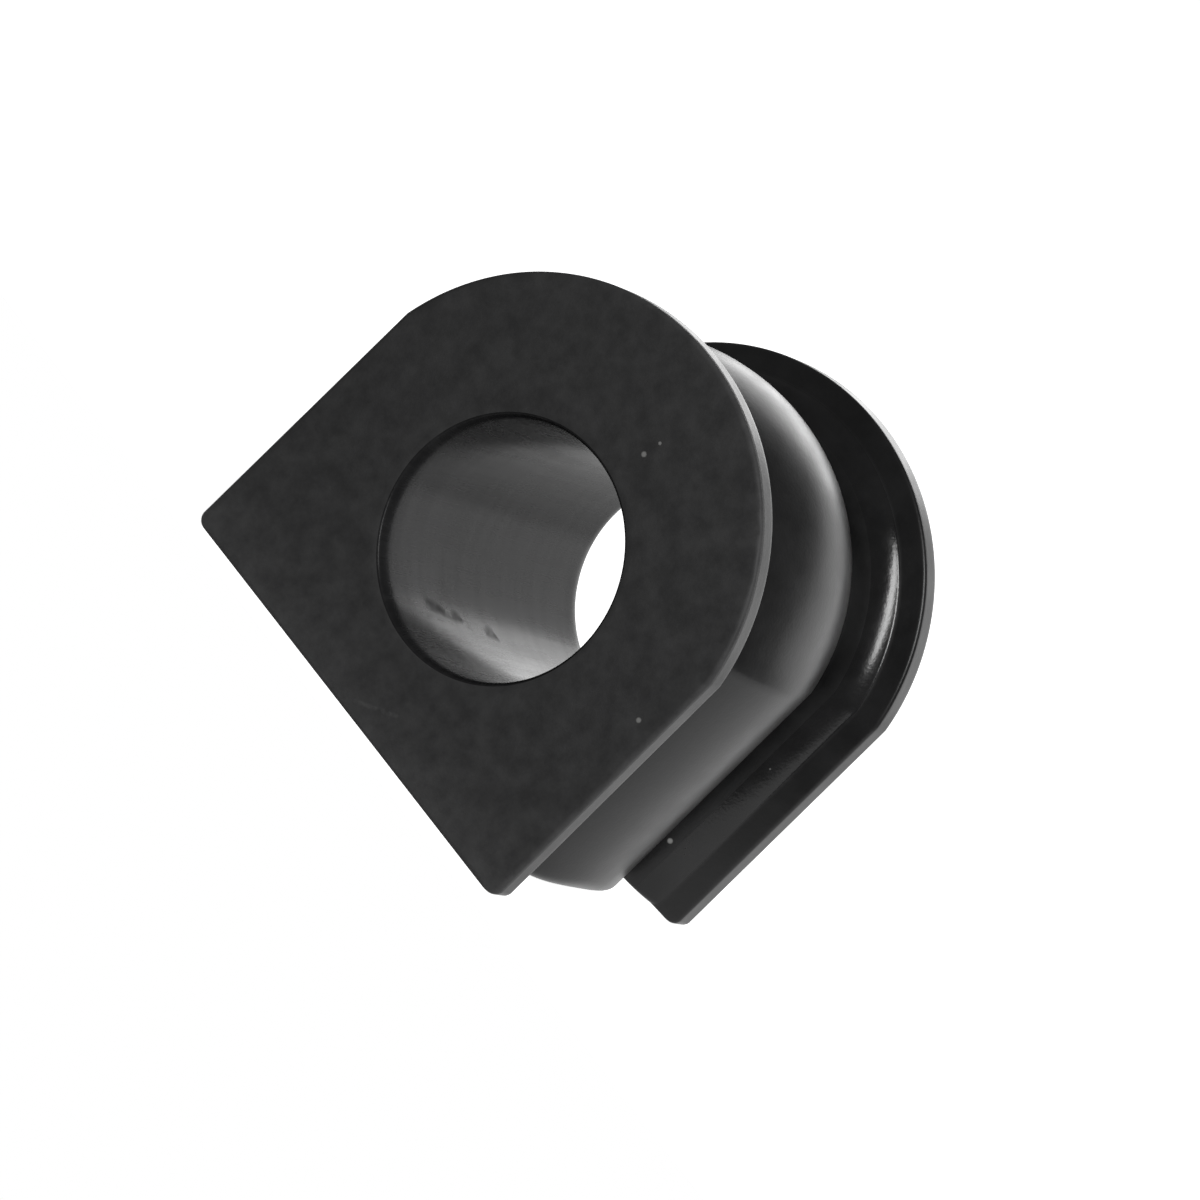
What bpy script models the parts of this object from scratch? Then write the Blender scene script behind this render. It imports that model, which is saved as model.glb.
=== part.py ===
"""Sway bar bushing: one moulded rubber block that carries a sway bar under a strap bracket.

The bar runs along Y through a round bore. The block stands on a flat foot at Z = 0 and is round on
top, with a thin flange at each end and a crowned strap groove between them. The origin is the middle
of the foot. Everything is in metres.
"""
import math

import bmesh
import bpy
from mathutils import Matrix, Vector

# Outline of the flanges, seen along the bar
FOOT_WIDTH = 0.0486
LENGTH = 0.0441
ARC_HEIGHT = 0.0238
SIDE_DRAFT = math.radians(0.8)
TOP_SWELL = 0.0004
FOOT_CORNER_RADIUS = 0.0012
GROOVE_CORNER_RADIUS = 0.0028

# Bore for the bar
BORE_DIAMETER = 0.0246
BORE_HEIGHT = 0.0214
MOUTH_FLARE = 0.0005
MOUTH_DEPTH = 0.0018

# Section from the end face to the middle; an inset is measured inward from the flange's rim
RIM_THICKNESS = 0.0029
RIM_EDGE_RADIUS = 0.0005
SHELF_INSET = 0.0024
SHELF_DROP = 0.0018
SHELF_SLOPE = math.radians(45)
OUTER_WALL_DRAFT = math.radians(17)
INNER_WALL_DRAFT = math.radians(12)
SHELF_ROOT_RADIUS = 0.0006
SHELF_EDGE_RADIUS = 0.0009
VALLEY_INSET = 0.0076
VALLEY_RADIUS = 0.0010
CREST_INSET = 0.0020

# Fineness of the facets, and how far the cutter stands past the end faces
ARC_STEPS = 48
FOOT_CORNER_STEPS = 5
FILLET_STEPS = 3
CROWN_STEPS = 7
BORE_STEPS = 72
MOUTH_STEPS = 4
CUTTER_OVERRUN = 0.004
SHARP_ANGLE = math.radians(32)
MERGE_DISTANCE = 0.00001

# Black rubber
RUBBER_COLOUR = (0.020, 0.020, 0.021, 1.0)
RUBBER_ROUGHNESS = 0.42


def clear_scene():
    for item in list(bpy.data.objects):
        bpy.data.objects.remove(item, do_unlink=True)


def new_collection(name):
    collection = bpy.data.collections.new(name)
    bpy.context.scene.collection.children.link(collection)
    return collection


def rubber_material():
    material = bpy.data.materials.new("black_rubber")
    material.use_nodes = True
    shader = material.node_tree.nodes["Principled BSDF"]
    shader.inputs["Base Color"].default_value = RUBBER_COLOUR
    shader.inputs["Roughness"].default_value = RUBBER_ROUGHNESS
    shader.inputs["Metallic"].default_value = 0.0
    return material


def arc_points(centre, start, end, steps):
    """Points of the arc about centre that runs the short way from start to end."""
    spoke = start - centre
    sweep = math.atan2(spoke.cross(end - centre), spoke.dot(end - centre))
    return [centre + Matrix.Rotation(sweep * step / steps, 2) @ spoke for step in range(steps + 1)]


def rounded_corner(before, corner, after, radius, steps):
    """Points that round a corner of two straight lines, within half the length of each."""
    to_before = before - corner
    to_after = after - corner
    half_angle = to_before.angle(to_after) / 2
    reach = radius / math.tan(half_angle)
    reach = min(reach, to_before.length / 2, to_after.length / 2)
    middle = (to_before.normalized() + to_after.normalized()).normalized()
    centre = corner + middle * reach / math.cos(half_angle)
    start = corner + to_before.normalized() * reach
    end = corner + to_after.normalized() * reach
    return arc_points(centre, start, end, steps)


def rounded_valley(wall_top, valley, crown_centre, crown_radius, radius):
    """Points that round the corner between the straight inner wall and the crown's arc.

    The fillet's centre lies one radius off the wall, on the groove's side, and one radius outside
    the crown's circle.
    """
    down = (valley - wall_top).normalized()
    off_wall = Vector((down.y, -down.x))
    from_crown = wall_top + off_wall * radius - crown_centre
    along = -from_crown.dot(down)
    reach = crown_radius + radius
    run = along - math.sqrt(along ** 2 - from_crown.length_squared + reach ** 2)
    centre = wall_top + off_wall * radius + down * run
    on_crown = crown_centre + (centre - crown_centre) * crown_radius / reach
    return arc_points(centre, centre - off_wall * radius, on_crown, FILLET_STEPS + 1)


def half_section():
    """The section from one end face to the middle, as (depth along the bar, inset) pairs."""
    end_face = Vector((0.0, SHELF_INSET))
    rim_front = Vector((0.0, 0.0))
    rim_back = Vector((RIM_THICKNESS, 0.0))
    shelf_root = rim_back + Vector((SHELF_INSET * math.tan(OUTER_WALL_DRAFT), SHELF_INSET))
    shelf_edge = shelf_root + Vector((SHELF_DROP * math.tan(SHELF_SLOPE), SHELF_DROP))
    wall_drop = VALLEY_INSET - shelf_edge.y
    valley = shelf_edge + Vector((wall_drop * math.tan(INNER_WALL_DRAFT), wall_drop))

    half_chord = LENGTH / 2 - valley.x
    rise = VALLEY_INSET - CREST_INSET
    crown_radius = (half_chord ** 2 + rise ** 2) / (2 * rise)
    crown_centre = Vector((LENGTH / 2, CREST_INSET + crown_radius))
    crest = Vector((LENGTH / 2, CREST_INSET))

    points = rounded_corner(end_face, rim_front, rim_back, RIM_EDGE_RADIUS, FILLET_STEPS)
    points += rounded_corner(rim_front, rim_back, shelf_root, RIM_EDGE_RADIUS, FILLET_STEPS)
    points += rounded_corner(rim_back, shelf_root, shelf_edge, SHELF_ROOT_RADIUS, FILLET_STEPS)
    points += rounded_corner(shelf_root, shelf_edge, valley, SHELF_EDGE_RADIUS, FILLET_STEPS)
    points += rounded_valley(shelf_edge, valley, crown_centre, crown_radius, VALLEY_RADIUS)
    points += arc_points(crown_centre, points[-1], crest, CROWN_STEPS)[1:]
    return points


def half_width_at(height, inset):
    """Half the width between the two sides at a height, for an outline moved inward by inset."""
    return FOOT_WIDTH / 2 - inset / math.cos(SIDE_DRAFT) - height * math.tan(SIDE_DRAFT)


def flange_arc_radius():
    return half_width_at(ARC_HEIGHT, 0.0) + TOP_SWELL


def foot_corner_radius(inset):
    """The foot's corners are small on the rims and grow to their full radius at the crest's inset."""
    share = min(1.0, inset / CREST_INSET)
    return FOOT_CORNER_RADIUS + share * (GROOVE_CORNER_RADIUS - FOOT_CORNER_RADIUS)


def outline(inset):
    """The block's outline at one inset, as (x, z) points from the left foot round to the right."""
    radius = flange_arc_radius() - inset
    centre = Vector((0.0, ARC_HEIGHT))
    # the side leans in by the draft, and the arc takes over where it meets the side
    side = half_width_at(ARC_HEIGHT, inset) * math.cos(SIDE_DRAFT)
    start = math.acos(side / radius) + SIDE_DRAFT
    shoulder = centre + Vector((math.cos(start), math.sin(start))) * radius
    opposite_shoulder = Vector((-shoulder.x, shoulder.y))

    foot = Vector((half_width_at(0.0, inset), 0.0))
    foot_middle = Vector((0.0, 0.0))
    corner_radius = foot_corner_radius(inset)
    corner = rounded_corner(foot_middle, foot, shoulder, corner_radius, FOOT_CORNER_STEPS)
    sweep = math.pi - 2 * start
    top = []
    for step in range(ARC_STEPS + 1):
        angle = math.pi - start - sweep * step / ARC_STEPS
        top.append(centre + Vector((math.cos(angle), math.sin(angle))) * radius)
    top[0], top[-1] = opposite_shoulder, shoulder
    left = [Vector((-point.x, point.y)) for point in corner]
    return left + top + corner[::-1]


def add_loop(mesh, inset, depth):
    """A closed loop of edges along the outline at one depth from the end face."""
    ring = [mesh.verts.new((point.x, depth - LENGTH / 2, point.y)) for point in outline(inset)]
    return [mesh.edges.new((ring[index - 1], ring[index])) for index in range(len(ring))]


def build_block(collection, material):
    """Half the block is lofted from the end face to the middle, and mirrored across the middle."""
    mesh = bmesh.new()
    loops = [add_loop(mesh, point.y, point.x) for point in half_section()]
    for near, far in zip(loops, loops[1:]):
        bmesh.ops.bridge_loops(mesh, edges=near + far)
    bmesh.ops.contextual_create(mesh, geom=loops[0])
    bmesh.ops.recalc_face_normals(mesh, faces=mesh.faces)

    data = bpy.data.meshes.new("bushing")
    mesh.to_mesh(data)
    mesh.free()
    data.shade_smooth()
    data.set_sharp_from_angle(angle=SHARP_ANGLE)
    data.materials.append(material)
    block = bpy.data.objects.new("bushing", data)
    collection.objects.link(block)

    mirror = block.modifiers.new("other_half", "MIRROR")
    mirror.use_axis = (False, True, False)
    mirror.merge_threshold = MERGE_DISTANCE
    return block


def bore_profile():
    """The cutter's outline, down its outer side: (radius, position along the bar) pairs."""
    radius = BORE_DIAMETER / 2
    end = LENGTH / 2
    mouth = [Vector((radius + MOUTH_FLARE, end + CUTTER_OVERRUN))]
    for step in range(MOUTH_STEPS + 1):
        angle = math.radians(90) * (1 - step / MOUTH_STEPS)
        flare = MOUTH_FLARE * (1 - math.cos(angle))
        mouth.append(Vector((radius + flare, end - MOUTH_DEPTH * (1 - math.sin(angle)))))
    other_mouth = [Vector((point.x, -point.y)) for point in reversed(mouth)]
    top = Vector((0.0, end + CUTTER_OVERRUN))
    bottom = Vector((0.0, -end - CUTTER_OVERRUN))
    return [top] + mouth + other_mouth + [bottom]


def build_bore_cutter(collection):
    """A turned plug with a flare at each mouth, lying along Y at the bore's height."""
    points = bore_profile()
    data = bpy.data.meshes.new("bore_cutter")
    data.from_pydata(
        [(point.x, 0.0, point.y) for point in points],
        [(index, index + 1) for index in range(len(points) - 1)],
        [],
    )
    cutter = bpy.data.objects.new("bore_cutter", data)
    collection.objects.link(cutter)
    cutter.location = (0.0, 0.0, BORE_HEIGHT)
    cutter.rotation_euler = (math.radians(90), 0.0, 0.0)
    cutter.hide_render = True
    cutter.display_type = "WIRE"

    turn = cutter.modifiers.new("turn", "SCREW")
    turn.axis = "Z"
    turn.steps = BORE_STEPS
    turn.render_steps = BORE_STEPS
    turn.use_merge_vertices = True
    turn.merge_threshold = MERGE_DISTANCE
    return cutter


def cut_bore(block, cutter):
    cut = block.modifiers.new("bore", "BOOLEAN")
    cut.operation = "DIFFERENCE"
    cut.solver = "EXACT"
    cut.object = cutter


def main():
    clear_scene()
    parts = new_collection("sway_bar_bushing")
    cutters = new_collection("cutters")
    block = build_block(parts, rubber_material())
    cut_bore(block, build_bore_cutter(cutters))


main()
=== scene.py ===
"""The looks of a sway bar bushing: its moulded rubber, finely meshed, and a small white studio.

The block is one closed skin. Rings of points run round the outside from the near end to the far
end, in over the far end face, back through the bore and out over the near end face. The bar runs
along Y, the foot stands at Z = 0, and all lengths are in metres.
"""

import math

import bmesh
import bpy
from mathutils import Matrix, Vector, noise


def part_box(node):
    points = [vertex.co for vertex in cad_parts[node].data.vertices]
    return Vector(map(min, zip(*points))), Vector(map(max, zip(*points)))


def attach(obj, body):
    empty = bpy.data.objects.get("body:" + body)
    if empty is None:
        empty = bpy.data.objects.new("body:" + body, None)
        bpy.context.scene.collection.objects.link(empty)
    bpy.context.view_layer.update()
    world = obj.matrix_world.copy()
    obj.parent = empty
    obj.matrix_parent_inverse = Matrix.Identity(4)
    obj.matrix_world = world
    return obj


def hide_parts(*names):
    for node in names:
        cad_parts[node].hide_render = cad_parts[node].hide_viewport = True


bl_info = {
    "name": "Sway Bar Bushing",
    "version": (1, 0, 0),
    "blender": (4, 5, 0),
    "location": "View3D > Sidebar > Bushing",
    "description": "Models a moulded rubber sway bar bushing and the studio that shows it",
    "category": "Add Mesh",
}

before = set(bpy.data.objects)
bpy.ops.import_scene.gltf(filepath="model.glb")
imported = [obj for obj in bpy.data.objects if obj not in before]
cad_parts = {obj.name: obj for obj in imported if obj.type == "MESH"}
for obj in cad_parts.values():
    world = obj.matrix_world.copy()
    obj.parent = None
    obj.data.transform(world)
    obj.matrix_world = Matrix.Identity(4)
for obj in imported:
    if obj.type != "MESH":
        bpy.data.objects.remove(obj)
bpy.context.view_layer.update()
block_low, block_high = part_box("bushing")

MM = 0.001
SKIN, FLANGE_WALL, LEDGE, END_FACE, BORE_WALL = range(5)


# Settings

class BushingShape(bpy.types.PropertyGroup):
    """Sizes of the moulded block"""

    foot_width: bpy.props.FloatProperty(
        name="Foot width", description="Width of the flat foot across the bar",
        default=block_high.x - block_low.x, unit="LENGTH", precision=5)
    length: bpy.props.FloatProperty(
        name="Length", description="Length of the block along the bar",
        default=block_high.y - block_low.y, unit="LENGTH", precision=5)
    height: bpy.props.FloatProperty(
        name="Height", description="Height of the flanges' round top over the foot",
        default=block_high.z - block_low.z, unit="LENGTH", precision=5)
    arc_height: bpy.props.FloatProperty(
        name="Arc height", description="Height of the round top's centre over the foot",
        default=23.8 * MM, unit="LENGTH", precision=5)
    side_draft: bpy.props.FloatProperty(
        name="Side draft", description="Lean of the two sides towards the top",
        default=math.radians(0.8), subtype="ANGLE")
    foot_corner: bpy.props.FloatProperty(
        name="Foot corner", description="Radius of the foot's long corners on the flanges' rims",
        default=1.0 * MM, unit="LENGTH", precision=5)
    belly_corner: bpy.props.FloatProperty(
        name="Belly corner", description="Radius of the foot's long corners on the crown's crest",
        default=2.4 * MM, unit="LENGTH", precision=5)
    belly_reach: bpy.props.FloatProperty(
        name="Belly reach", description="How far from the crest that radius fades out",
        default=11.0 * MM, unit="LENGTH", precision=5)
    bore_diameter: bpy.props.FloatProperty(
        name="Bore", description="Diameter of the bore for the bar",
        default=24.6 * MM, unit="LENGTH", precision=5)
    bore_height: bpy.props.FloatProperty(
        name="Bore height", description="Height of the bore's axis over the foot",
        default=21.4 * MM, unit="LENGTH", precision=5)
    mouth_flare: bpy.props.FloatProperty(
        name="Mouth flare", description="How much wider the bore is at its mouths, on the radius",
        default=0.5 * MM, unit="LENGTH", precision=5)
    mouth_depth: bpy.props.FloatProperty(
        name="Mouth depth", description="How far the flare runs into the bore",
        default=1.8 * MM, unit="LENGTH", precision=5)


class GrooveShape(bpy.types.PropertyGroup):
    """Section of the flanges and the groove between them; an inset is measured in from the rim"""

    rim_thickness: bpy.props.FloatProperty(
        name="Rim thickness", description="Thickness of a flange at its rim",
        default=2.9 * MM, unit="LENGTH", precision=5)
    rim_edge: bpy.props.FloatProperty(
        name="Rim edge", description="Radius of the rim's two edges",
        default=0.5 * MM, unit="LENGTH", precision=5)
    ledge_inset: bpy.props.FloatProperty(
        name="Ledge inset", description="How far in from the rim the ledge starts",
        default=2.4 * MM, unit="LENGTH", precision=5)
    ledge_drop: bpy.props.FloatProperty(
        name="Ledge drop", description="How much further in the ledge ends",
        default=1.8 * MM, unit="LENGTH", precision=5)
    ledge_slope: bpy.props.FloatProperty(
        name="Ledge slope", description="Slope of the ledge against the end face",
        default=math.radians(45), subtype="ANGLE")
    outer_draft: bpy.props.FloatProperty(
        name="Outer wall draft", description="Lean of the wall between the rim and the ledge",
        default=math.radians(17), subtype="ANGLE")
    inner_draft: bpy.props.FloatProperty(
        name="Inner wall draft", description="Lean of the wall between the ledge and the crown",
        default=math.radians(12), subtype="ANGLE")
    ledge_run_out: bpy.props.FloatProperty(
        name="Ledge run-out", description="How far the ledge's round reaches down the inner wall",
        default=2.0 * MM, unit="LENGTH", precision=5)
    valley_inset: bpy.props.FloatProperty(
        name="Valley inset", description="Depth of the groove where the crown meets the wall",
        default=7.6 * MM, unit="LENGTH", precision=5)
    valley_fillet: bpy.props.FloatProperty(
        name="Valley fillet", description="Fillet between the inner wall and the crown",
        default=0.7 * MM, unit="LENGTH", precision=5)
    crest_inset: bpy.props.FloatProperty(
        name="Crest inset", description="How far the crown's crest stays below the rim",
        default=2.0 * MM, unit="LENGTH", precision=5)


class RubberLook(bpy.types.PropertyGroup):
    """Colour and surface of the black rubber"""

    deep_colour: bpy.props.FloatVectorProperty(
        name="Deep colour", description="Colour of clean rubber",
        subtype="COLOR", size=4, min=0, max=1, default=(0.0050, 0.0050, 0.0052, 1))
    dusty_colour: bpy.props.FloatVectorProperty(
        name="Dusty colour", description="Colour of rubber under a film of talc and bloom",
        subtype="COLOR", size=4, min=0, max=1, default=(0.0100, 0.0100, 0.0103, 1))
    # The two face colours also go on the rims' front edges, where their lighter tone paints a pale
    # highlight line.
    face_deep_colour: bpy.props.FloatVectorProperty(
        name="Face deep colour", description="Colour of the end faces where the bloom is thin",
        subtype="COLOR", size=4, min=0, max=1, default=(0.041, 0.041, 0.0415, 1))
    face_dusty_colour: bpy.props.FloatVectorProperty(
        name="Face dusty colour", description="Colour of the end faces where the bloom is thick",
        subtype="COLOR", size=4, min=0, max=1, default=(0.062, 0.062, 0.0625, 1))
    bore_deep_colour: bpy.props.FloatVectorProperty(
        name="Bore deep colour", description="Colour of the bore's wall where the talc is thin",
        subtype="COLOR", size=4, min=0, max=1, default=(0.010, 0.010, 0.0105, 1))
    bore_dusty_colour: bpy.props.FloatVectorProperty(
        name="Bore dusty colour", description="Colour of the bore's wall where the talc is thick",
        subtype="COLOR", size=4, min=0, max=1, default=(0.028, 0.028, 0.0285, 1))
    speck_colour: bpy.props.FloatVectorProperty(
        name="Speck colour", description="Colour of the few specks of dust",
        subtype="COLOR", size=4, min=0, max=1, default=(0.26, 0.26, 0.255, 1))
    refraction: bpy.props.FloatProperty(
        name="Refraction",
        description="Index of refraction, which sets the gloss at a glancing look",
        default=1.40, min=1, max=2)
    skin_roughness: bpy.props.FloatProperty(
        name="Skin roughness", description="Roughness of the rims and the crown",
        subtype="FACTOR", min=0, max=1, default=0.32)
    wall_roughness: bpy.props.FloatProperty(
        name="Wall roughness", description="Roughness of the flanges' walls",
        subtype="FACTOR", min=0, max=1, default=0.34)
    ledge_roughness: bpy.props.FloatProperty(
        name="Ledge roughness", description="Roughness of the ledges, which are worn smooth",
        subtype="FACTOR", min=0, max=1, default=0.17)
    face_roughness: bpy.props.FloatProperty(
        name="Face roughness", description="Roughness of the end faces",
        subtype="FACTOR", min=0, max=1, default=0.50)
    bore_roughness: bpy.props.FloatProperty(
        name="Bore roughness", description="Roughness of the bore's wall",
        subtype="FACTOR", min=0, max=1, default=0.26)
    face_gloss: bpy.props.FloatProperty(
        name="Face gloss", description="Gloss of the end faces, which bloom dulls",
        subtype="FACTOR", min=0, max=1, default=0.16)
    bore_gloss: bpy.props.FloatProperty(
        name="Bore gloss", description="Gloss of the bore's wall, which talc dulls",
        subtype="FACTOR", min=0, max=1, default=0.14)
    grain: bpy.props.FloatProperty(
        name="Grain", description="Size of the fine moulded grain",
        default=0.28 * MM, unit="LENGTH", precision=5)
    mottle: bpy.props.FloatProperty(
        name="Mottle", description="Size of the cloudy patches in the film",
        default=4.5 * MM, unit="LENGTH", precision=5)
    relief: bpy.props.FloatProperty(
        name="Relief", description="Depth of the skin's slight unevenness",
        default=0.012 * MM, unit="LENGTH", precision=6)
    draw_marks: bpy.props.FloatProperty(
        name="Draw marks",
        description="Depth of the lengthwise marks that the core left in the bore",
        default=0.006 * MM, unit="LENGTH", precision=6)


class StudioLook(bpy.types.PropertyGroup):
    """Camera, lamps and floor"""

    azimuth: bpy.props.FloatProperty(
        name="Azimuth", description="How far the camera stands to the right of the bar's line",
        default=math.radians(21.941), subtype="ANGLE")
    elevation: bpy.props.FloatProperty(
        name="Elevation", description="How far the camera looks down",
        default=math.radians(13.3699), subtype="ANGLE")
    roll: bpy.props.FloatProperty(
        name="Roll", description="How far the camera is turned about its line of sight",
        default=math.radians(45.7201), subtype="ANGLE")
    place: bpy.props.FloatVectorProperty(
        name="Camera place", description="Where the camera stands",
        subtype="XYZ", unit="LENGTH", precision=5, default=(0.19558, -0.48121, 0.14340))
    lens: bpy.props.FloatProperty(
        name="Lens", description="Focal length in millimetres on a 36 mm sensor", default=166.756)
    floor_size: bpy.props.FloatProperty(
        name="Floor size", description="Side of the square floor", default=1.4, unit="LENGTH")
    floor_front: bpy.props.FloatProperty(
        name="Floor front", description="How far the floor reaches towards the camera",
        default=0.027, unit="LENGTH")
    floor_colour: bpy.props.FloatVectorProperty(
        name="Floor colour", description="Colour of the floor",
        subtype="COLOR", size=4, min=0, max=1, default=(0.80, 0.80, 0.80, 1))
    floor_glow: bpy.props.FloatProperty(
        name="Floor glow", description="Light added to the floor's look, which lifts it to white",
        default=0.85, min=0, max=1)
    gloss_glow: bpy.props.FloatProperty(
        name="Floor glow in gloss", description="The floor's added light where a gloss mirrors it",
        default=0.50, min=0, max=1)
    fill: bpy.props.FloatProperty(
        name="Fill", description="Level of the even light from all round", default=0.20, min=0)
    key: bpy.props.FloatProperty(
        name="Key", description="Power of the long narrow lamp at the right, in watts",
        default=1.9, min=0)
    back: bpy.props.FloatProperty(
        name="Back", description="Power of the bright lamp behind, in watts",
        default=1.05, min=0)
    rear_fill: bpy.props.FloatProperty(
        name="Rear fill", description="Power of the wide soft lamp behind, in watts",
        default=2.05, min=0)


# Outline and section

def half_width_at(shape, height, inset):
    """Half the width between the two sides at a height, for an outline moved inward by inset."""
    lean = math.tan(shape.side_draft)
    return shape.foot_width / 2 - inset / math.cos(shape.side_draft) - height * lean


def arc_points(centre, start, end, steps):
    """Points of the arc about centre that runs the short way from start to end."""
    spoke = start - centre
    sweep = math.atan2(spoke.cross(end - centre), spoke.dot(end - centre))
    return [centre + Matrix.Rotation(sweep * step / steps, 2) @ spoke for step in range(steps + 1)]


def rounded_corner(before, corner, after, radius, steps):
    """Points that round a corner of two straight lines, within half the length of each."""
    to_before = before - corner
    to_after = after - corner
    half_angle = to_before.angle(to_after) / 2
    reach = radius / math.tan(half_angle)
    reach = min(reach, to_before.length / 2, to_after.length / 2)
    middle = (to_before.normalized() + to_after.normalized()).normalized()
    centre = corner + middle * reach / math.cos(half_angle)
    start = corner + to_before.normalized() * reach
    end = corner + to_after.normalized() * reach
    return arc_points(centre, start, end, steps)


def rounded_valley(wall_top, valley, crown_centre, crown_radius, radius, steps):
    """Points that round the corner between the straight inner wall and the crown's arc."""
    down = (valley - wall_top).normalized()
    off_wall = Vector((down.y, -down.x))
    from_crown = wall_top + off_wall * radius - crown_centre
    along = -from_crown.dot(down)
    reach = crown_radius + radius
    run = along - math.sqrt(along ** 2 - from_crown.length_squared + reach ** 2)
    centre = wall_top + off_wall * radius + down * run
    on_crown = crown_centre + (centre - crown_centre) * crown_radius / reach
    return arc_points(centre, centre - off_wall * radius, on_crown, steps)


def rounded_ledge(root, edge, valley, run_out, steps):
    """Points of the arc that starts at the ledge's root and runs out smoothly on the inner wall."""
    down = (valley - edge).normalized()
    into_flange = Vector((-down.y, down.x))
    end = edge + down * run_out
    chord = root - end
    radius = chord.length_squared / (2 * into_flange.dot(chord))
    return arc_points(end + into_flange * radius, root, end, steps)


def fill_between(points, longest):
    """The points, with more put in where two lie further apart than the longest step."""
    filled = [points[0]]
    for start, end in zip(points, points[1:]):
        pieces = max(1, math.ceil((end - start).length / longest))
        filled += [start.lerp(end, step / pieces) for step in range(1, pieces + 1)]
    return filled


def half_section(shape, groove):
    """The section from an end face to the middle, as (depth along the bar, inset) pairs."""
    fillet_steps = 6
    ledge_steps = 18
    wall_step = 0.34 * MM
    crown_steps = 30
    end_face = Vector((0.0, groove.ledge_inset))
    rim_front = Vector((0.0, 0.0))
    rim_back = Vector((groove.rim_thickness, 0.0))
    lean = groove.ledge_inset * math.tan(groove.outer_draft)
    ledge_root = rim_back + Vector((lean, groove.ledge_inset))
    step_in = groove.ledge_drop * math.tan(groove.ledge_slope)
    ledge_edge = ledge_root + Vector((step_in, groove.ledge_drop))
    wall_drop = groove.valley_inset - ledge_edge.y
    valley = ledge_edge + Vector((wall_drop * math.tan(groove.inner_draft), wall_drop))

    half_chord = shape.length / 2 - valley.x
    rise = groove.valley_inset - groove.crest_inset
    crown_radius = (half_chord ** 2 + rise ** 2) / (2 * rise)
    crown_centre = Vector((shape.length / 2, groove.crest_inset + crown_radius))
    crest = Vector((shape.length / 2, groove.crest_inset))

    points = rounded_corner(end_face, rim_front, rim_back, groove.rim_edge, fillet_steps)
    points += rounded_corner(rim_front, rim_back, ledge_root, groove.rim_edge, fillet_steps)
    points += rounded_ledge(ledge_root, ledge_edge, valley, groove.ledge_run_out, ledge_steps)
    points += rounded_valley(
        ledge_edge, valley, crown_centre, crown_radius, groove.valley_fillet, fillet_steps)
    walls = fill_between(points, wall_step)
    return walls + arc_points(crown_centre, points[-1], crest, crown_steps)[1:]


def foot_corner_radius(shape, depth):
    """Radius of the foot's corners: full on the crown's crest, small on the flanges."""
    share = min(1.0, abs(depth - shape.length / 2) / shape.belly_reach)
    swell = math.cos(share * math.pi / 2) ** 2
    return shape.foot_corner + swell * (shape.belly_corner - shape.foot_corner)


def outline(shape, depth, inset):
    """The outline at one depth and inset: (x, z) points from the foot's middle round to it."""
    foot_steps, corner_steps, side_steps, arc_steps = 40, 9, 40, 72
    swell = shape.height - shape.arc_height - half_width_at(shape, shape.arc_height, 0.0)
    radius = half_width_at(shape, shape.arc_height, 0.0) + swell - inset
    centre = Vector((0.0, shape.arc_height))
    side = half_width_at(shape, shape.arc_height, inset) * math.cos(shape.side_draft)
    start = math.acos(side / radius) + shape.side_draft
    shoulder = centre + Vector((math.cos(start), math.sin(start))) * radius
    foot_middle = Vector((0.0, 0.0))
    foot = Vector((half_width_at(shape, 0.0, inset), 0.0))
    corner_radius = foot_corner_radius(shape, depth)
    corner = rounded_corner(foot_middle, foot, shoulder, corner_radius, corner_steps)

    right = [foot_middle.lerp(corner[0], step / foot_steps) for step in range(foot_steps)]
    right += corner
    right += [corner[-1].lerp(shoulder, step / side_steps) for step in range(1, side_steps)]
    for step in range(arc_steps):
        angle = start + (math.pi / 2 - start) * step / arc_steps
        right.append(centre + Vector((math.cos(angle), math.sin(angle))) * radius)
    top = Vector((0.0, centre.y + radius))
    left = [Vector((-point.x, point.y)) for point in reversed(right[1:])]
    return right + [top] + left


# Block

def skin_rings(shape, groove):
    """Rings round the outside, from the near end face to the far one."""
    half = half_section(shape, groove)
    section = half + [Vector((shape.length - point.x, point.y)) for point in reversed(half[:-1])]
    rings = []
    for point in section:
        place = point.x - shape.length / 2
        spots = outline(shape, point.x, point.y)
        rings.append([Vector((spot.x, place, spot.y)) for spot in spots])
    return rings


def bore_section(shape):
    """The bore's wall from the far mouth to the near one: (place along the bar, radius) pairs."""
    mouth_steps = 8
    wall_steps = 54
    radius = shape.bore_diameter / 2
    end = shape.length / 2
    mouth = []
    for step in range(mouth_steps + 1):
        angle = math.radians(90) * step / mouth_steps
        flare = shape.mouth_flare * (1 - math.sin(angle))
        mouth.append(Vector((end - shape.mouth_depth * (1 - math.cos(angle)), radius + flare)))
    straight = end - shape.mouth_depth
    wall = []
    for step in range(1, wall_steps):
        wall.append(Vector((straight * (1 - 2 * step / wall_steps), radius)))
    return mouth + wall + [Vector((-point.x, point.y)) for point in reversed(mouth)]


def bore_rings(shape, spokes):
    """Rings round the bore's wall, from the far mouth to the near one."""
    axis = Vector((0.0, 0.0, shape.bore_height))
    rings = []
    for point in bore_section(shape):
        rings.append([axis + spoke * point.y + Vector((0.0, point.x, 0.0)) for spoke in spokes])
    return rings


def face_rings(outer, inner, steps):
    """Rings over a flat end face, between the rim's fillet and the bore's mouth."""
    rings = []
    for step in range(1, steps):
        share = step / steps
        rings.append([start.lerp(end, share) for start, end in zip(outer, inner)])
    return rings


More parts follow.
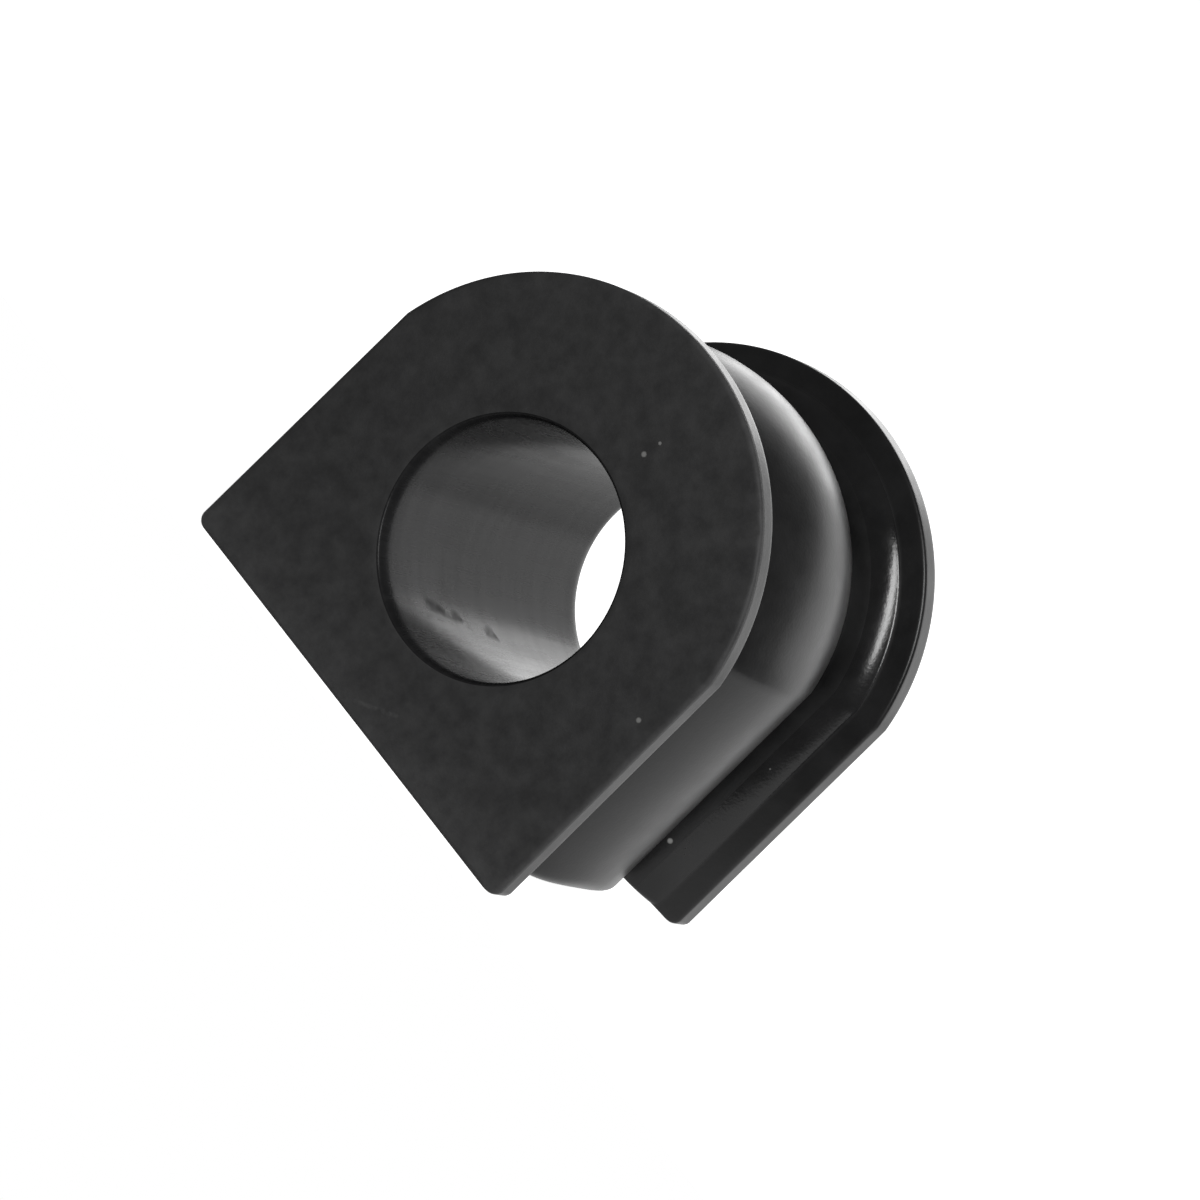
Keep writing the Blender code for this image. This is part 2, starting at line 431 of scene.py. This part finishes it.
def bore_spokes(shape, ring):
    """Unit directions from the bore's axis to the points of a ring, evened out round the bore."""
    count = len(ring)
    spokes = []
    for index in range(count):
        to_point = Vector((ring[index].x, 0.0, ring[index].z - shape.bore_height)).normalized()
        angle = math.tau * index / count - math.pi / 2
        even = Vector((math.cos(angle), 0.0, math.sin(angle)))
        spokes.append((to_point + even).normalized())
    return spokes


def add_ring(mesh, points):
    return [mesh.verts.new(point) for point in points]


def join_rings(mesh, first, second, finish):
    """Four-sided faces between two rings, all of one finish."""
    for index in range(len(first)):
        corners = (first[index - 1], first[index], second[index], second[index - 1])
        mesh.faces.new(corners).material_index = finish


def uneven(point, size):
    """A smooth random height from 0 to 1 that changes over the given size."""
    return 0.5 + 0.5 * noise.noise(point / size)


def press_relief(mesh, shape, look):
    """Sinks each point a hair: waves on the moulded outside, lengthwise marks in the bore."""
    wave = 4.2 * MM
    ripple = 1.3 * MM
    ripple_share = 0.2
    across = 1.1 * MM
    along = 14.0 * MM
    bore_reach = shape.bore_diameter / 2 + shape.mouth_flare / 2
    mesh.normal_update()
    for vertex in mesh.verts:
        place = vertex.co
        radius = math.hypot(place.x, place.z - shape.bore_height)
        if radius < bore_reach:
            mark = Vector((place.x / across, place.y / along, place.z / across))
            depth = look.draw_marks * uneven(mark, 1.0)
        else:
            waves = (1 - ripple_share) * uneven(place, wave)
            depth = look.relief * (waves + ripple_share * uneven(place, ripple))
        vertex.co = place - vertex.normal * depth


def press_nicks(mesh, shape):
    """A few small nicks in the near flange's front edge, each a centre, a reach and a depth."""
    near = -shape.length / 2
    nicks = [
        (Vector((16.4 * MM, near, 41.3 * MM)), 0.55 * MM, 0.22 * MM),
        (Vector((14.6 * MM, near, 42.9 * MM)), 0.40 * MM, 0.14 * MM),
        (Vector((19.2 * MM, near, 38.0 * MM)), 0.45 * MM, 0.12 * MM),
    ]
    for centre, reach, depth in nicks:
        for vertex in mesh.verts:
            gap = (vertex.co - centre).length / reach
            if gap < 1:
                vertex.co -= vertex.normal * depth * (1 - gap * gap) ** 2


def finish_at(shape, groove, place):
    """The finish of the outside at a place along the bar: walls and a ledge lie behind each rim.

    The end faces' finish runs on over the rim's front edge: partly their bloom, and partly a pale
    highlight line that the faces' lighter colour paints there.
    """
    depth = shape.length / 2 - abs(place)
    # The rim's front edge takes the end faces' lighter colour, which paints a pale highlight line
    # along it.
    if depth < groove.rim_edge:
        return END_FACE
    root = groove.rim_thickness + groove.ledge_inset * math.tan(groove.outer_draft)
    edge = root + groove.ledge_drop * math.tan(groove.ledge_slope)
    if root < depth < edge:
        return LEDGE
    return FLANGE_WALL if groove.rim_thickness < depth < edge + groove.valley_fillet else SKIN


def build_block(shape, groove, look):
    """The block's mesh, one closed skin of rings."""
    face_steps = 22
    mesh = bmesh.new()
    outside = skin_rings(shape, groove)
    spokes = bore_spokes(shape, outside[0])
    bore = bore_rings(shape, spokes)
    far_face = face_rings(outside[-1], bore[0], face_steps)
    near_face = face_rings(bore[-1], outside[0], face_steps)

    places = [(points, finish_at(shape, groove, points[0].y)) for points in outside[:-1]]
    places += [(points, END_FACE) for points in [outside[-1]] + far_face]
    places += [(points, BORE_WALL) for points in bore[:-1]]
    places += [(points, END_FACE) for points in [bore[-1]] + near_face]
    rings = [(add_ring(mesh, points), finish) for points, finish in places]
    for (ring, finish), (following, _) in zip(rings, rings[1:] + rings[:1]):
        join_rings(mesh, ring, following, finish)
    bmesh.ops.recalc_face_normals(mesh, faces=mesh.faces)
    press_relief(mesh, shape, look)
    press_nicks(mesh, shape)

    data = bpy.data.meshes.new("moulded_block")
    mesh.to_mesh(data)
    mesh.free()
    data.shade_smooth()
    return data


# Materials

def link(tree, source, output, target, socket):
    tree.links.new(source.outputs[output], target.inputs[socket])


def math_node(tree, operation, first, second):
    """A Math node fed by two sockets or numbers."""
    node = tree.nodes.new("ShaderNodeMath")
    node.operation = operation
    for index, value in enumerate((first, second)):
        if isinstance(value, (int, float)):
            node.inputs[index].default_value = value
        else:
            tree.links.new(value, node.inputs[index])
    return node.outputs["Value"]


def noise_node(tree, place, size, detail, roughness=0.5):
    node = tree.nodes.new("ShaderNodeTexNoise")
    node.inputs["Scale"].default_value = 1 / size
    node.inputs["Detail"].default_value = detail
    node.inputs["Roughness"].default_value = roughness
    tree.links.new(place, node.inputs["Vector"])
    return node.outputs["Fac"]


def spread(tree, value, from_low, from_high, to_low, to_high):
    """Maps a value from one range to another, and holds it there."""
    node = tree.nodes.new("ShaderNodeMapRange")
    node.inputs["From Min"].default_value = from_low
    node.inputs["From Max"].default_value = from_high
    node.inputs["To Min"].default_value = to_low
    node.inputs["To Max"].default_value = to_high
    tree.links.new(value, node.inputs["Value"])
    return node.outputs["Result"]


def vector_node(tree, operation, place, second):
    """A Vector Math node of a place and a constant vector."""
    node = tree.nodes.new("ShaderNodeVectorMath")
    node.operation = operation
    node.inputs[1].default_value = second
    tree.links.new(place, node.inputs[0])
    return node.outputs["Vector"]


def stretched(tree, place, stretch):
    """The place with each axis divided by a size, for marks that run one way."""
    return vector_node(tree, "DIVIDE", place, stretch)


def blend_colours(tree, share, first, second):
    """Goes from the first colour to the second as the share goes from 0 to 1."""
    colour_a, colour_b, colour_result = 6, 7, 2
    node = tree.nodes.new("ShaderNodeMix")
    node.data_type = "RGBA"
    tree.links.new(share, node.inputs["Factor"])
    for socket, colour in ((node.inputs[colour_a], first), (node.inputs[colour_b], second)):
        if isinstance(colour, bpy.types.NodeSocket):
            tree.links.new(colour, socket)
        else:
            socket.default_value = colour
    return node.outputs[colour_result]


def bump_node(tree, height, distance, strength, before=None):
    node = tree.nodes.new("ShaderNodeBump")
    node.inputs["Distance"].default_value = distance
    node.inputs["Strength"].default_value = strength
    tree.links.new(height, node.inputs["Height"])
    if before is not None:
        tree.links.new(before, node.inputs["Normal"])
    return node.outputs["Normal"]


def speck_share(tree, place, specks):
    """1 on the given specks of dust and 0 elsewhere; each speck is a centre and a radius."""
    share = None
    for centre, radius in specks:
        gap = tree.nodes.new("ShaderNodeVectorMath")
        gap.operation = "DISTANCE"
        gap.inputs[1].default_value = centre
        tree.links.new(place, gap.inputs[0])
        spot = spread(tree, gap.outputs["Value"], radius * 0.55, radius, 1.0, 0.0)
        share = spot if share is None else math_node(tree, "MAXIMUM", share, spot)
    return share


def streak_share(tree, place, start, end, width):
    """1 along the line from start to end and 0 beyond the given width from it."""
    run = end - start
    offset = vector_node(tree, "SUBTRACT", place, start)
    along = tree.nodes.new("ShaderNodeVectorMath")
    along.operation = "DOT_PRODUCT"
    along.inputs[1].default_value = run / run.length_squared
    tree.links.new(offset, along.inputs[0])
    held = spread(tree, along.outputs["Value"], 0.0, 1.0, 0.0, 1.0)
    nearest = tree.nodes.new("ShaderNodeVectorMath")
    nearest.operation = "SCALE"
    nearest.inputs[0].default_value = run
    tree.links.new(held, nearest.inputs["Scale"])
    gap = tree.nodes.new("ShaderNodeVectorMath")
    gap.operation = "DISTANCE"
    tree.links.new(offset, gap.inputs[0])
    tree.links.new(nearest.outputs["Vector"], gap.inputs[1])
    return spread(tree, gap.outputs["Value"], width * 0.3, width, 1.0, 0.0)


def rubber(name, look):
    """A rubber material's start: its tree, its shader, and the place on the block."""
    material = bpy.data.materials.new(name)
    material.use_nodes = True
    tree = material.node_tree
    shader = tree.nodes["Principled BSDF"]
    shader.inputs["IOR"].default_value = look.refraction
    shader.inputs["Metallic"].default_value = 0.0
    coordinates = tree.nodes.new("ShaderNodeTexCoord")
    return material, tree, shader, coordinates.outputs["Object"]


def skin_material(name, look, roughness):
    """The moulded outside: satin, with a cloudy film and a fine grain."""
    material, tree, shader, place = rubber(name, look)
    film = noise_node(tree, place, look.mottle, 5.0, 0.6)
    film = spread(tree, film, 0.38, 0.68, 0.0, 1.0)
    colour = blend_colours(tree, film, look.deep_colour, look.dusty_colour)
    specks = speck_share(tree, place, [
        (Vector((18.57, 16.31, 6.09)) * MM, 0.33 * MM),
        (Vector((20.17, 16.95, 18.34)) * MM, 0.22 * MM),
        (Vector((7.54, -6.16, 44.60)) * MM, 0.20 * MM),
        (Vector((12.36, -6.07, 42.16)) * MM, 0.20 * MM),
    ])
    colour = blend_colours(tree, specks, colour, look.speck_colour)
    tree.links.new(colour, shader.inputs["Base Color"])
    rough = spread(tree, film, 0.0, 1.0, roughness - 0.03, roughness + 0.04)
    tree.links.new(rough, shader.inputs["Roughness"])
    grain = noise_node(tree, place, look.grain, 3.0)
    fine = bump_node(tree, grain, look.grain * 0.05, 0.5)
    pores = noise_node(tree, place, look.grain * 4, 2.0)
    tree.links.new(bump_node(tree, pores, look.grain * 0.06, 0.5, fine), shader.inputs["Normal"])
    return material


def face_material(look, shape):
    """The end faces and the rims' front edges: matt, with an even fine mottle, a few specks and one
    light scuff; on the edges the lighter colour paints a pale highlight line.
    """
    material, tree, shader, place = rubber("end_face", look)
    near = -shape.length / 2
    film = noise_node(tree, place, look.mottle * 0.55, 6.0, 0.65)
    film = spread(tree, film, 0.34, 0.66, 0.0, 1.0)
    colour = blend_colours(tree, film, look.face_deep_colour, look.face_dusty_colour)
    scuff_start = Vector((0.75 * MM, near, 1.37 * MM))
    scuff_end = Vector((4.65 * MM, near, 3.54 * MM))
    scuff = streak_share(tree, place, scuff_start, scuff_end, 0.30 * MM)
    scuff = math_node(tree, "MULTIPLY", scuff, spread(tree, film, 0.2, 0.9, 0.0, 0.14))
    colour = blend_colours(tree, scuff, colour, look.speck_colour)
    specks = speck_share(tree, place, [
        (Vector((3.35 * MM, near, 37.63 * MM)), 0.32 * MM),
        (Vector((3.68 * MM, near, 39.44 * MM)), 0.20 * MM),
        (Vector((21.70 * MM, near, 21.47 * MM)), 0.30 * MM),
    ])
    colour = blend_colours(tree, specks, colour, look.speck_colour)
    tree.links.new(colour, shader.inputs["Base Color"])
    rough = spread(tree, film, 0.25, 0.75, look.face_roughness - 0.05, look.face_roughness + 0.05)
    tree.links.new(rough, shader.inputs["Roughness"])
    shader.inputs["Specular IOR Level"].default_value = look.face_gloss
    grain = noise_node(tree, place, look.grain, 4.0, 0.6)
    tree.links.new(bump_node(tree, grain, look.grain * 0.10, 0.6), shader.inputs["Normal"])
    return material


def bore_material(look):
    """The bore's wall: satin, with lengthwise marks, slight waves and one rubbed streak."""
    mark_size = (1.0 * MM, 16.0 * MM, 1.0 * MM)
    film_size = (4.0 * MM, 9.0 * MM, 4.0 * MM)
    wave_size = (8.0 * MM, 3.0 * MM, 8.0 * MM)
    material, tree, shader, place = rubber("bore_wall", look)
    marks = noise_node(tree, stretched(tree, place, mark_size), 1.0, 4.0, 0.6)
    film = noise_node(tree, stretched(tree, place, film_size), 1.0, 3.0)
    share = math_node(tree, "MULTIPLY", spread(tree, marks, 0.35, 0.65, 0.4, 1.0), film)
    colour = blend_colours(tree, share, look.bore_deep_colour, look.bore_dusty_colour)
    tree.links.new(colour, shader.inputs["Base Color"])
    rough = spread(tree, marks, 0.3, 0.7, look.bore_roughness - 0.03, look.bore_roughness + 0.04)
    scuff_start = Vector((-5.0, -14.0, 10.5)) * MM
    scuff_end = Vector((-3.4, 1.0, 9.9)) * MM
    scuff = streak_share(tree, place, scuff_start, scuff_end, 0.9 * MM)
    blotch = spread(tree, noise_node(tree, place, 2.2 * MM, 4.0), 0.45, 0.60, 0.0, 0.25)
    rough = math_node(tree, "ADD", rough, math_node(tree, "MULTIPLY", scuff, blotch))
    tree.links.new(rough, shader.inputs["Roughness"])
    shader.inputs["Specular IOR Level"].default_value = look.bore_gloss
    fine = bump_node(tree, marks, 0.008 * MM, 0.5)
    waves = noise_node(tree, stretched(tree, place, wave_size), 1.0, 1.0)
    fine = bump_node(tree, waves, 0.05 * MM, 0.5, fine)
    grain = noise_node(tree, place, look.grain, 3.0)
    tree.links.new(bump_node(tree, grain, look.grain * 0.06, 0.5, fine), shader.inputs["Normal"])
    return material


# Studio

def camera_share(tree, path):
    """1 for rays that come from the camera, also through something clear, and 0 for others."""
    straight, through = path.outputs["Is Camera Ray"], path.outputs["Is Transmission Ray"]
    return math_node(tree, "MAXIMUM", straight, through)


def floor_material(studio):
    """Pale floor that keeps shadows; a glow seen by the camera and by gloss lifts it to white."""
    material = bpy.data.materials.new("studio_floor")
    material.use_nodes = True
    tree = material.node_tree
    shader = tree.nodes["Principled BSDF"]
    shader.inputs["Base Color"].default_value = studio.floor_colour
    shader.inputs["Roughness"].default_value = 0.9
    shader.inputs["Specular IOR Level"].default_value = 0.0
    path = tree.nodes.new("ShaderNodeLightPath")
    seen = math_node(tree, "MULTIPLY", camera_share(tree, path), studio.floor_glow)
    mirrored = math_node(tree, "MULTIPLY", path.outputs["Is Glossy Ray"], studio.gloss_glow)
    glow = tree.nodes.new("ShaderNodeEmission")
    tree.links.new(math_node(tree, "ADD", seen, mirrored), glow.inputs["Strength"])
    both = tree.nodes.new("ShaderNodeAddShader")
    link(tree, shader, "BSDF", both, 0)
    link(tree, glow, "Emission", both, 1)
    link(tree, both, "Shader", tree.nodes["Material Output"], "Surface")
    return material


def build_floor(studio):
    mesh = bmesh.new()
    bmesh.ops.create_grid(mesh, x_segments=2, y_segments=2, size=studio.floor_size / 2)
    data = bpy.data.meshes.new("studio_floor")
    mesh.to_mesh(data)
    mesh.free()
    data.materials.append(floor_material(studio))
    floor = bpy.data.objects.new("studio_floor", data)
    floor.location.y = studio.floor_size / 2 - studio.floor_front
    bpy.context.scene.collection.objects.link(floor)


def build_world(studio):
    """White where the camera looks past the floor, and an even fill for everything else."""
    world = bpy.data.worlds.new("studio")
    bpy.context.scene.world = world
    world.use_nodes = True
    tree = world.node_tree
    background = tree.nodes["Background"]
    background.inputs["Color"].default_value = (1, 1, 1, 1)
    path = tree.nodes.new("ShaderNodeLightPath")
    level = spread(tree, camera_share(tree, path), 0.0, 1.0, studio.fill, 1.0)
    tree.links.new(level, background.inputs["Strength"])


def add_lamp(name, place, target, width, height, upward, power):
    """A flat lamp that faces its target, its height turned upward; the camera doesn't see it."""
    data = bpy.data.lights.new(name, "AREA")
    data.shape = "ELLIPSE"
    data.size = width
    data.size_y = height
    data.energy = power
    lamp = bpy.data.objects.new(name, data)
    back = (place - target).normalized()
    across = upward.cross(back).normalized()
    turn = Matrix((across, back.cross(across), back)).transposed().to_4x4()
    lamp.matrix_world = Matrix.Translation(place) @ turn
    lamp.visible_camera = False
    bpy.context.scene.collection.objects.link(lamp)
    return lamp


def build_lamps(studio):
    middle = Vector((0.0, 0.0, block_high.z / 2))
    upright = Vector((0.0, 0.0, 1.0))
    leaning = Vector((-0.45, 0.28, 0.58))
    key_distance = 0.5
    key_place = middle + Vector((0.64, -0.43, 0.64)).normalized() * key_distance
    add_lamp("key_lamp", key_place, middle, 0.085, 0.42, leaning, studio.key)
    back_place = Vector((-0.275, 0.62, 0.31))
    add_lamp("back_lamp", back_place, middle, 0.45, 0.46, upright, studio.back)
    rear_place = Vector((0.10, 0.75, 0.22))
    add_lamp("rear_fill_lamp", rear_place, middle, 1.3, 0.46, upright, studio.rear_fill)


def build_camera(studio):
    """The camera at the photograph's angle, turned about its line of sight."""
    azimuth, elevation = studio.azimuth, studio.elevation
    back = Vector((
        math.sin(azimuth) * math.cos(elevation),
        -math.cos(azimuth) * math.cos(elevation),
        math.sin(elevation),
    ))
    level = (-back).cross(Vector((0, 0, 1))).normalized()
    upright = level.cross(-back)
    turned_right = level * math.cos(studio.roll) + upright * math.sin(studio.roll)
    turned_up = upright * math.cos(studio.roll) - level * math.sin(studio.roll)
    data = bpy.data.cameras.new("camera")
    data.sensor_width = 36.0
    data.lens = studio.lens
    data.clip_start = 0.01
    data.clip_end = 20.0
    camera = bpy.data.objects.new("camera", data)
    camera.matrix_world = (
        Matrix.Translation(studio.place)
        @ Matrix((turned_right, turned_up, back)).transposed().to_4x4()
    )
    bpy.context.scene.collection.objects.link(camera)
    bpy.context.scene.camera = camera


# Operators and panel

class BUSHING_OT_block(bpy.types.Operator):
    """Model the moulded rubber block in place of the plain one"""

    bl_idname = "bushing.block"
    bl_label = "Moulded Block"

    def execute(self, context):
        scene = context.scene
        shape, look = scene.bushing_shape, scene.bushing_rubber
        data = build_block(shape, scene.bushing_groove, look)
        data.materials.append(skin_material("moulded_skin", look, look.skin_roughness))
        data.materials.append(skin_material("flange_wall", look, look.wall_roughness))
        data.materials.append(skin_material("ledge", look, look.ledge_roughness))
        data.materials.append(face_material(look, shape))
        data.materials.append(bore_material(look))
        block = bpy.data.objects.new("moulded_block", data)
        scene.collection.objects.link(block)
        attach(block, "root")
        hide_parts("bushing")
        return {"FINISHED"}


class BUSHING_OT_stage(bpy.types.Operator):
    """Set up the floor, the lamps and the camera"""

    bl_idname = "bushing.stage"
    bl_label = "Studio"

    def execute(self, context):
        studio = context.scene.bushing_studio
        build_floor(studio)
        build_world(studio)
        build_lamps(studio)
        build_camera(studio)
        context.scene.view_settings.view_transform = "Standard"
        return {"FINISHED"}


class BUSHING_PT_panel(bpy.types.Panel):
    """Lists the bushing's settings and steps"""

    bl_idname = "BUSHING_PT_panel"
    bl_label = "Sway Bar Bushing"
    bl_space_type = "VIEW_3D"
    bl_region_type = "UI"
    bl_category = "Bushing"

    def draw(self, context):
        scene = context.scene
        groups = (
            ("Block", scene.bushing_shape),
            ("Groove", scene.bushing_groove),
            ("Rubber", scene.bushing_rubber),
            ("Studio", scene.bushing_studio),
        )
        for title, settings in groups:
            box = self.layout.box()
            box.label(text=title)
            for key in settings.__annotations__:
                box.prop(settings, key)
        self.layout.operator(BUSHING_OT_block.bl_idname)
        self.layout.operator(BUSHING_OT_stage.bl_idname)


CLASSES = (
    BushingShape,
    GrooveShape,
    RubberLook,
    StudioLook,
    BUSHING_OT_block,
    BUSHING_OT_stage,
    BUSHING_PT_panel,
)


def register():
    for item in CLASSES:
        bpy.utils.register_class(item)
    bpy.types.Scene.bushing_shape = bpy.props.PointerProperty(type=BushingShape)
    bpy.types.Scene.bushing_groove = bpy.props.PointerProperty(type=GrooveShape)
    bpy.types.Scene.bushing_rubber = bpy.props.PointerProperty(type=RubberLook)
    bpy.types.Scene.bushing_studio = bpy.props.PointerProperty(type=StudioLook)


def unregister():
    del bpy.types.Scene.bushing_studio
    del bpy.types.Scene.bushing_rubber
    del bpy.types.Scene.bushing_groove
    del bpy.types.Scene.bushing_shape
    for item in reversed(CLASSES):
        bpy.utils.unregister_class(item)


def main():
    register()
    bpy.ops.bushing.stage()
    bpy.ops.bushing.block()


if __name__ == "__main__":
    main()
